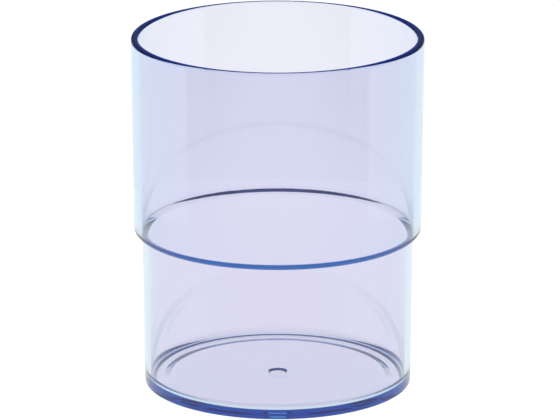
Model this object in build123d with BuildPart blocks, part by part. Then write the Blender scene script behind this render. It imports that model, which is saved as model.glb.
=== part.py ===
"""Pen holder cup: one injection-moulded tumbler of transparent blue-tinted plastic.

The wall steps outwards at a ledge a little under half way up, so that cups stack: the narrow lower
section goes into the mouth of the next cup, and the ledge lands on that cup's rim.

Frame: millimetres, +Z up, origin at the centre of the resting plane, cup axis on Z.
"""

import os

from build123d import *

# ---- driving dimensions -------------------------------------------------------------------
HEIGHT = 97.6  # resting plane to the top of the rim
RIM_RADIUS = 40.0  # outside, at the top
UPPER_DRAFT = 0.53  # the outside narrows by this from the rim down to the ledge
UPPER_WALL = 2.1

LEDGE_HEIGHT = 42.75  # resting plane to the underside of the ledge
LEDGE_THICKNESS = 1.25
LOWER_RADIUS = 37.15  # outside, just under the ledge
LOWER_DRAFT = 0.5  # the outside narrows by this from the ledge down to the foot
LOWER_WALL = 1.6

FLOOR_EDGE_HEIGHT = 1.95  # resting plane to the inside of the floor, at the wall
FLOOR_MIDDLE_HEIGHT = 2.15  # the same, beside the gate mark
RECESS_DEPTH = 0.25  # the middle of the underside is raised, so the cup rests on a ring
RECESS_RADIUS = 31.5  # inside of that resting ring
RECESS_SLOPE_WIDTH = 1.8

RECESS_EDGE_RADIUS = 1.0
FOOT_EDGE_RADIUS = 0.4
FLOOR_CORNER_RADIUS = 2.2
UNDER_LEDGE_RADIUS = 0.5
LEDGE_EDGE_RADIUS = 1.45
LEDGE_INNER_CORNER_RADIUS = 0.2  # hollow, where the ledge turns up into the upper wall
LEDGE_INNER_EDGE_RADIUS = 1.5  # rounded, where the ledge turns down into the lower wall
LIP_RADIUS = 0.9

GATE_RADIUS = 2.7  # moulding gate mark, a shallow round dimple at the centre of the floor
GATE_BOTTOM_RADIUS = 2.1
GATE_DEPTH = 0.5
GATE_EDGE_RADIUS = 0.15

# ---- corners of the half section, as (radius, height) -------------------------------------
upper_radius = RIM_RADIUS - UPPER_DRAFT
foot_radius = LOWER_RADIUS - LOWER_DRAFT
ledge_top = LEDGE_HEIGHT + LEDGE_THICKNESS
gate_bottom = FLOOR_MIDDLE_HEIGHT - GATE_DEPTH

recess_top = (RECESS_RADIUS - RECESS_SLOPE_WIDTH, RECESS_DEPTH)
recess_foot = (RECESS_RADIUS, 0)
foot = (foot_radius, 0)
under_ledge = (LOWER_RADIUS, LEDGE_HEIGHT)
ledge_edge = (upper_radius, LEDGE_HEIGHT)
rim_outside = (RIM_RADIUS, HEIGHT)
rim_inside = (RIM_RADIUS - UPPER_WALL, HEIGHT)
ledge_inner_corner = (upper_radius - UPPER_WALL, ledge_top)
ledge_inner_edge = (LOWER_RADIUS - LOWER_WALL, ledge_top)
floor_corner = (foot_radius - LOWER_WALL, FLOOR_EDGE_HEIGHT)
gate_shoulder = (GATE_RADIUS, FLOOR_MIDDLE_HEIGHT)
gate_corner = (GATE_BOTTOM_RADIUS, gate_bottom)

outline = [
    (0, RECESS_DEPTH),
    recess_top,
    recess_foot,
    foot,
    under_ledge,
    ledge_edge,
    rim_outside,
    rim_inside,
    ledge_inner_corner,
    ledge_inner_edge,
    floor_corner,
    gate_shoulder,
    gate_corner,
    (0, gate_bottom),
]
roundings = [
    (recess_top, RECESS_EDGE_RADIUS),
    (recess_foot, RECESS_EDGE_RADIUS),
    (foot, FOOT_EDGE_RADIUS),
    (under_ledge, UNDER_LEDGE_RADIUS),
    (ledge_edge, LEDGE_EDGE_RADIUS),
    (rim_outside, LIP_RADIUS),
    (rim_inside, LIP_RADIUS),
    (ledge_inner_corner, LEDGE_INNER_CORNER_RADIUS),
    (ledge_inner_edge, LEDGE_INNER_EDGE_RADIUS),
    (floor_corner, FLOOR_CORNER_RADIUS),
    (gate_shoulder, GATE_EDGE_RADIUS),
    (gate_corner, GATE_EDGE_RADIUS),
]

os.makedirs("parts", exist_ok=True)

# ---- cup body -----------------------------------------------------------------------------
with BuildPart() as cup_body:
    with BuildSketch(Plane.XZ) as half_section:
        with BuildLine():
            Polyline(*outline, close=True)
        make_face()
        for (x, z), radius in roundings:
            corner = half_section.vertices().sort_by_distance((x, z, 0))[0]
            fillet(corner, radius)
    revolve(axis=Axis.Z)

cup_body.part.label = "cup_body"
export_step(cup_body.part, "parts/cup_body.step")
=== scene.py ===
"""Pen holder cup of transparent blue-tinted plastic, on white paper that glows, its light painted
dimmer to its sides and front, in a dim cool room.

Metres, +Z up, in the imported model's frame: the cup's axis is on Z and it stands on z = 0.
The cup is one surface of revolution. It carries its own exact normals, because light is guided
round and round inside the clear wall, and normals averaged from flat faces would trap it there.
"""

import math

import bpy
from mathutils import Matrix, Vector


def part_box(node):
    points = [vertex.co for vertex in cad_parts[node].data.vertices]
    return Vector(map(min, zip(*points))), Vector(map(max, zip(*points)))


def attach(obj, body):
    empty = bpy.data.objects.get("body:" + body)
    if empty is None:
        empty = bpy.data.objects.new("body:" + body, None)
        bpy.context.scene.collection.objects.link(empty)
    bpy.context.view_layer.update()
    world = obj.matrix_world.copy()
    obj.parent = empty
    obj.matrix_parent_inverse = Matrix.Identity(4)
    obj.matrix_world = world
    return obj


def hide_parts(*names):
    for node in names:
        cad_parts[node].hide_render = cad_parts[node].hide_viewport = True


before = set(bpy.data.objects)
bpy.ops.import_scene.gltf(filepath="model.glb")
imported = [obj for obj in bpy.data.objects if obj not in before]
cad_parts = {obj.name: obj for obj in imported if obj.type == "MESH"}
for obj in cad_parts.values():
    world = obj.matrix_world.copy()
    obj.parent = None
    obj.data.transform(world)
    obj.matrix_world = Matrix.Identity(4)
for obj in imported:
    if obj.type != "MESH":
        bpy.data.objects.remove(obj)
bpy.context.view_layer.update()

# ---- cup sizes, metres: height and width come from the frame ---------------------------------
MM = 0.001
cad_low, cad_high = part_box("cup_body")
HEIGHT = cad_high.z
RIM_RADIUS = cad_high.x
UPPER_DRAFT = 0.53 * MM
UPPER_WALL = 2.1 * MM

LEDGE_HEIGHT = 42.75 * MM
LEDGE_THICKNESS = 1.25 * MM
LOWER_RADIUS = 37.15 * MM
LOWER_DRAFT = 0.5 * MM
LOWER_WALL = 1.6 * MM

FLOOR_EDGE_HEIGHT = 1.95 * MM
FLOOR_MIDDLE_HEIGHT = 2.15 * MM
RECESS_DEPTH = 0.25 * MM
RECESS_RADIUS = 31.5 * MM
RECESS_SLOPE_WIDTH = 1.8 * MM

RECESS_EDGE_RADIUS = 1.0 * MM
FOOT_EDGE_RADIUS = 0.4 * MM
FLOOR_CORNER_RADIUS = 2.2 * MM
UNDER_LEDGE_RADIUS = 0.5 * MM
LEDGE_EDGE_RADIUS = 1.45 * MM
LEDGE_INNER_CORNER_RADIUS = 0.2 * MM
LEDGE_INNER_EDGE_RADIUS = 1.5 * MM
LIP_RADIUS = 0.9 * MM

GATE_RADIUS = 2.7 * MM
GATE_BOTTOM_RADIUS = 2.1 * MM
GATE_DEPTH = 0.5 * MM
GATE_EDGE_RADIUS = 0.15 * MM

# ---- mesh fineness ---------------------------------------------------------------------------
AROUND = 360
ARC_STEPS = 10
LONGEST_RUN = 2.0 * MM

# ---- plastic ---------------------------------------------------------------------------------
IOR = 1.57
WALL_TINT = (0.97, 0.865, 0.945)  # light kept by one wall's two surfaces together
ABSORPTION_PER_MM = (0.1, 0.042, 0.014)  # absorption coefficient inside the plastic
HAZE_SCALE = 160.0
HAZE_RANGE = (0.35, 0.75)
SMOOTHEST_AND_ROUGHEST = (0.002, 0.012)
WAVE_SCALE = 450.0
WAVE_STRENGTH = 0.5
WAVE_HEIGHT = 0.003 * MM

# ---- glowing paper under the cup, its light painted dimmer to the sides and front: 1 is white, distances from the cup's axis ---
FLOOR_GAP = 0.02 * MM
FLOOR_RADIUS = 6.0
FLOOR_SIDES = 96
PAPER_HUE = (1.04, 1.035, 0.97)
UNLIT_PAPER = (0.1, 0.1, 0.1)  # dark, so that its own light sets how bright it looks
PAPER_ROUGHNESS = 0.8
PAPER_BESIDE = 0.4  # painted brightness well to the left and right
SIDE_FALL = (0.083, 0.4)  # where the painted dimming to the sides starts and ends
BRIGHT_STRIP_SPREAD = 0.055  # the painted bright strip widens by this share of the distance behind
PAPER_IN_FRONT = 0.75  # painted brightness well in front
FRONT_FALL = (-0.4, -0.042)  # y where the painted dimming to the front ends and starts

# ---- card that stands round the back and sides, and the room above it --------------------------
CARD_DISTANCE = 0.2
CARD_HEIGHT = 0.083
CARD_START = math.radians(-20)  # its ends come this far round to the front of the X axis
CARD_STEPS = 60
ROOM_HUE = (0.3, 0.38, 1.0)
ROOM_BRIGHTNESS = 0.35

# ---- camera ----------------------------------------------------------------------------------
CAMERA_DISTANCE = 1.5
CAMERA_ELEVATION = math.radians(16.38)
AIM_HEIGHT = 48.3 * MM
PICTURE_WIDTH_AT_CUP = 153.55 * MM
SENSOR_WIDTH = 36.0
SHIFT_X = 0.0041
LIGHT_BOUNCES = 64


# ---- cup surface -----------------------------------------------------------------------------
def unit_normal(start, end):
    """Outward normal of a straight run, with the material on the run's left."""
    run = (end - start).normalized()
    return Vector((run.y, -run.x))


def rounded_corner(before, corner, after, radius):
    """(point, normal) pairs round one corner, from the first tangent point to the second."""
    back = (before - corner).normalized()
    ahead = (after - corner).normalized()
    half_angle = back.angle(ahead) / 2
    centre = corner + (back + ahead).normalized() * (radius / math.sin(half_angle))
    tangent_length = radius / math.tan(half_angle)
    start = corner + back * tangent_length - centre
    end = corner + ahead * tangent_length - centre
    side = 1 if start.dot(unit_normal(before, corner)) > 0 else -1
    start_angle = math.atan2(start.y, start.x)
    turn = math.remainder(math.atan2(end.y, end.x) - start_angle, math.tau)
    pairs = []
    for step in range(ARC_STEPS + 1):
        angle = start_angle + turn * step / ARC_STEPS
        spoke = Vector((math.cos(angle), math.sin(angle)))
        pairs.append((centre + spoke * radius, spoke * side))
    return pairs


def rounded_outline(corners):
    """(point, normal) pairs along an open outline of ((radius, height), rounding) corners."""
    places = [Vector(place) for place, rounding in corners]
    outline = [(places[0], unit_normal(places[0], places[1]))]
    for i in range(1, len(corners) - 1):
        outline += rounded_corner(places[i - 1], places[i], places[i + 1], corners[i][1])
    outline.append((places[-1], unit_normal(places[-2], places[-1])))
    return outline


def split_long_runs(outline):
    """The same outline with extra points, so that no straight run is longer than LONGEST_RUN."""
    points = [outline[0]]
    for (start, start_normal), (end, end_normal) in zip(outline, outline[1:]):
        pieces = max(1, math.ceil((end - start).length / LONGEST_RUN))
        for piece in range(1, pieces + 1):
            share = piece / pieces
            points.append((start.lerp(end, share), start_normal.lerp(end_normal, share)))
    return points


def cup_outline():
    """Half section of the cup, from the axis under the foot, up the outside and down the inside."""
    foot_radius = LOWER_RADIUS - LOWER_DRAFT
    upper_radius = RIM_RADIUS - UPPER_DRAFT
    ledge_top = LEDGE_HEIGHT + LEDGE_THICKNESS
    gate_bottom = FLOOR_MIDDLE_HEIGHT - GATE_DEPTH
    return rounded_outline([
        ((0, RECESS_DEPTH), 0),
        ((RECESS_RADIUS - RECESS_SLOPE_WIDTH, RECESS_DEPTH), RECESS_EDGE_RADIUS),
        ((RECESS_RADIUS, 0), RECESS_EDGE_RADIUS),
        ((foot_radius, 0), FOOT_EDGE_RADIUS),
        ((LOWER_RADIUS, LEDGE_HEIGHT), UNDER_LEDGE_RADIUS),
        ((upper_radius, LEDGE_HEIGHT), LEDGE_EDGE_RADIUS),
        ((RIM_RADIUS, HEIGHT), LIP_RADIUS),
        ((RIM_RADIUS - UPPER_WALL, HEIGHT), LIP_RADIUS),
        ((upper_radius - UPPER_WALL, ledge_top), LEDGE_INNER_CORNER_RADIUS),
        ((LOWER_RADIUS - LOWER_WALL, ledge_top), LEDGE_INNER_EDGE_RADIUS),
        ((foot_radius - LOWER_WALL, FLOOR_EDGE_HEIGHT), FLOOR_CORNER_RADIUS),
        ((GATE_RADIUS, FLOOR_MIDDLE_HEIGHT), GATE_EDGE_RADIUS),
        ((GATE_BOTTOM_RADIUS, gate_bottom), GATE_EDGE_RADIUS),
        ((0, gate_bottom), 0),
    ])


def turned_mesh(name, outline):
    """Surface of revolution about Z of an outline that starts and ends on the axis."""
    turns = [math.tau * i / AROUND for i in range(AROUND)]
    vertices = []
    normals = []
    rings = []
    for point, normal in outline:
        on_axis = point.x < 1e-6 * MM
        ring_turns = [0.0] if on_axis else turns
        rings.append(range(len(vertices), len(vertices) + len(ring_turns)))
        for turn in ring_turns:
            across = Vector((math.cos(turn), math.sin(turn), 0))
            vertices.append(across * point.x + Vector((0, 0, point.y)))
            normals.append((across * normal.x + Vector((0, 0, normal.y))).normalized())
    faces = []
    for lower, upper in zip(rings, rings[1:]):
        for i in range(AROUND):
            j = (i + 1) % AROUND
            if len(lower) == 1:
                faces.append((lower[0], upper[j], upper[i]))
            elif len(upper) == 1:
                faces.append((lower[i], lower[j], upper[0]))
            else:
                faces.append((lower[i], lower[j], upper[j], upper[i]))
    mesh = bpy.data.meshes.new(name)
    mesh.from_pydata(vertices, [], faces)
    mesh.shade_smooth()
    mesh.normals_split_custom_set_from_vertices(normals)
    piece = bpy.data.objects.new(name, mesh)
    bpy.context.scene.collection.objects.link(piece)
    return piece


# ---- materials -------------------------------------------------------------------------------
def new_material(name):
    """A node material, with its tree and its main shader."""
    material = bpy.data.materials.new(name)
    material.use_nodes = True
    tree = material.node_tree
    return material, tree, tree.nodes["Principled BSDF"]


def scaled(tree, value, from_range, to_range, smooth=False):
    """A socket that carries value moved from one range to another, and kept inside it."""
    node = tree.nodes.new("ShaderNodeMapRange")
    node.interpolation_type = "SMOOTHSTEP" if smooth else "LINEAR"
    for label, number in zip(("From Min", "From Max", "To Min", "To Max"), from_range + to_range):
        node.inputs[label].default_value = number
    tree.links.new(value, node.inputs["Value"])
    return node.outputs["Result"]


def tinted_plastic():
    """Clear moulded plastic, tinted right through, with faint haze and waves on its surface."""
    material, tree, shader = new_material("tinted_plastic")
    shader.inputs["Base Color"].default_value = (*WALL_TINT, 1)
    shader.inputs["Transmission Weight"].default_value = 1.0
    shader.inputs["IOR"].default_value = IOR

    strongest = max(ABSORPTION_PER_MM)
    passed_colour = [1 - coefficient / strongest for coefficient in ABSORPTION_PER_MM]
    absorption = tree.nodes.new("ShaderNodeVolumeAbsorption")
    absorption.inputs["Color"].default_value = (*passed_colour, 1)
    absorption.inputs["Density"].default_value = strongest / MM
    tree.links.new(absorption.outputs["Volume"], tree.nodes["Material Output"].inputs["Volume"])

    place = tree.nodes.new("ShaderNodeTexCoord")
    haze = tree.nodes.new("ShaderNodeTexNoise")
    haze.inputs["Scale"].default_value = HAZE_SCALE
    haze.inputs["Detail"].default_value = 4.0
    tree.links.new(place.outputs["Object"], haze.inputs["Vector"])
    roughness = scaled(tree, haze.outputs["Fac"], HAZE_RANGE, SMOOTHEST_AND_ROUGHEST)
    tree.links.new(roughness, shader.inputs["Roughness"])

    waves = tree.nodes.new("ShaderNodeTexNoise")
    waves.inputs["Scale"].default_value = WAVE_SCALE
    waves.inputs["Detail"].default_value = 3.0
    tree.links.new(place.outputs["Object"], waves.inputs["Vector"])
    bump = tree.nodes.new("ShaderNodeBump")
    bump.inputs["Strength"].default_value = WAVE_STRENGTH
    bump.inputs["Distance"].default_value = WAVE_HEIGHT
    tree.links.new(waves.outputs["Fac"], bump.inputs["Height"])
    tree.links.new(bump.outputs["Normal"], shader.inputs["Normal"])
    return material


def paper_material(name, painted_falloff):
    """White paper that gives off light. With painted_falloff, its glow is painted dimmer beside and
    before the cup, as painted shade set by position.
    """
    material, tree, shader = new_material(name)
    shader.inputs["Base Color"].default_value = (*UNLIT_PAPER, 1)
    shader.inputs["Roughness"].default_value = PAPER_ROUGHNESS
    shader.inputs["Emission Color"].default_value = (*PAPER_HUE, 1)
    shader.inputs["Emission Strength"].default_value = 1.0
    # painted shade: the paper's glow is set by position, dimmer to the sides and in front of the
    # cup
    if painted_falloff:
        place = tree.nodes.new("ShaderNodeTexCoord")
        axes = tree.nodes.new("ShaderNodeSeparateXYZ")
        tree.links.new(place.outputs["Object"], axes.inputs["Vector"])
        sideways = tree.nodes.new("ShaderNodeMath")
        sideways.operation = "ABSOLUTE"
        tree.links.new(axes.outputs["X"], sideways.inputs[0])
        beside = tree.nodes.new("ShaderNodeMath")
        beside.operation = "MULTIPLY_ADD"
        beside.inputs[1].default_value = -BRIGHT_STRIP_SPREAD
        tree.links.new(axes.outputs["Y"], beside.inputs[0])
        tree.links.new(sideways.outputs["Value"], beside.inputs[2])
        across = scaled(tree, beside.outputs["Value"], SIDE_FALL, (1.0, PAPER_BESIDE), smooth=True)
        along = scaled(tree, axes.outputs["Y"], FRONT_FALL, (PAPER_IN_FRONT, 1.0), smooth=True)
        glow = tree.nodes.new("ShaderNodeMath")
        glow.operation = "MULTIPLY"
        tree.links.new(across, glow.inputs[0])
        tree.links.new(along, glow.inputs[1])
        tree.links.new(glow.outputs["Value"], shader.inputs["Emission Strength"])
    return material


# ---- studio ----------------------------------------------------------------------------------
def make_floor():
    """A large round floor of glowing paper, its light painted dimmer to the sides and front, just
    under the foot.
    """
    bpy.ops.mesh.primitive_circle_add(vertices=FLOOR_SIDES, radius=FLOOR_RADIUS, fill_type="NGON")
    floor = bpy.context.object
    floor.name = "floor"
    floor.location.z = -FLOOR_GAP
    floor.data.materials.append(paper_material("floor_paper", painted_falloff=True))


def make_card():
    """A low card of lit paper, curved round the back and the sides of the cup."""
    places = []
    for step in range(CARD_STEPS + 1):
        angle = CARD_START + (math.pi - 2 * CARD_START) * step / CARD_STEPS
        x = CARD_DISTANCE * math.cos(angle)
        y = CARD_DISTANCE * math.sin(angle)
        places += [(x, y, 0), (x, y, CARD_HEIGHT)]
    faces = [(2 * i, 2 * i + 1, 2 * i + 3, 2 * i + 2) for i in range(CARD_STEPS)]
    mesh = bpy.data.meshes.new("card")
    mesh.from_pydata(places, [], faces)
    mesh.materials.append(paper_material("card_paper", painted_falloff=False))
    card = bpy.data.objects.new("card", mesh)
    card.visible_camera = False  # it lights the cup, and doesn't hide it from behind
    bpy.context.scene.collection.objects.link(card)


def make_room():
    """The dim cool room above the paper, which colours the darkest edges."""
    world = bpy.data.worlds.new("studio")
    bpy.context.scene.world = world
    world.use_nodes = True
    background = world.node_tree.nodes["Background"]
    background.inputs["Color"].default_value = (*ROOM_HUE, 1)
    background.inputs["Strength"].default_value = ROOM_BRIGHTNESS


def make_camera():
    """Long lens, a little above the rim, looking at the middle of the cup."""
    data = bpy.data.cameras.new("camera")
    camera = bpy.data.objects.new("camera", data)
    bpy.context.scene.collection.objects.link(camera)
    camera.location.y = -CAMERA_DISTANCE * math.cos(CAMERA_ELEVATION)
    camera.location.z = AIM_HEIGHT + CAMERA_DISTANCE * math.sin(CAMERA_ELEVATION)
    camera.rotation_euler.x = math.pi / 2 - CAMERA_ELEVATION
    data.sensor_width = SENSOR_WIDTH
    data.lens = SENSOR_WIDTH * CAMERA_DISTANCE / PICTURE_WIDTH_AT_CUP
    data.shift_x = SHIFT_X
    bpy.context.scene.camera = camera


def set_picture():
    """Plain colours, and enough bounces for light that is guided inside the wall."""
    scene = bpy.context.scene
    scene.view_settings.view_transform = "Standard"
    scene.cycles.max_bounces = LIGHT_BOUNCES
    scene.cycles.transmission_bounces = LIGHT_BOUNCES
    scene.cycles.glossy_bounces = LIGHT_BOUNCES


# ---- build -----------------------------------------------------------------------------------
cup = turned_mesh("cup", split_long_runs(cup_outline()))
cup.data.materials.append(tinted_plastic())
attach(cup, "root")
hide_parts("cup_body")

make_floor()
make_card()
make_room()
make_camera()
set_picture()
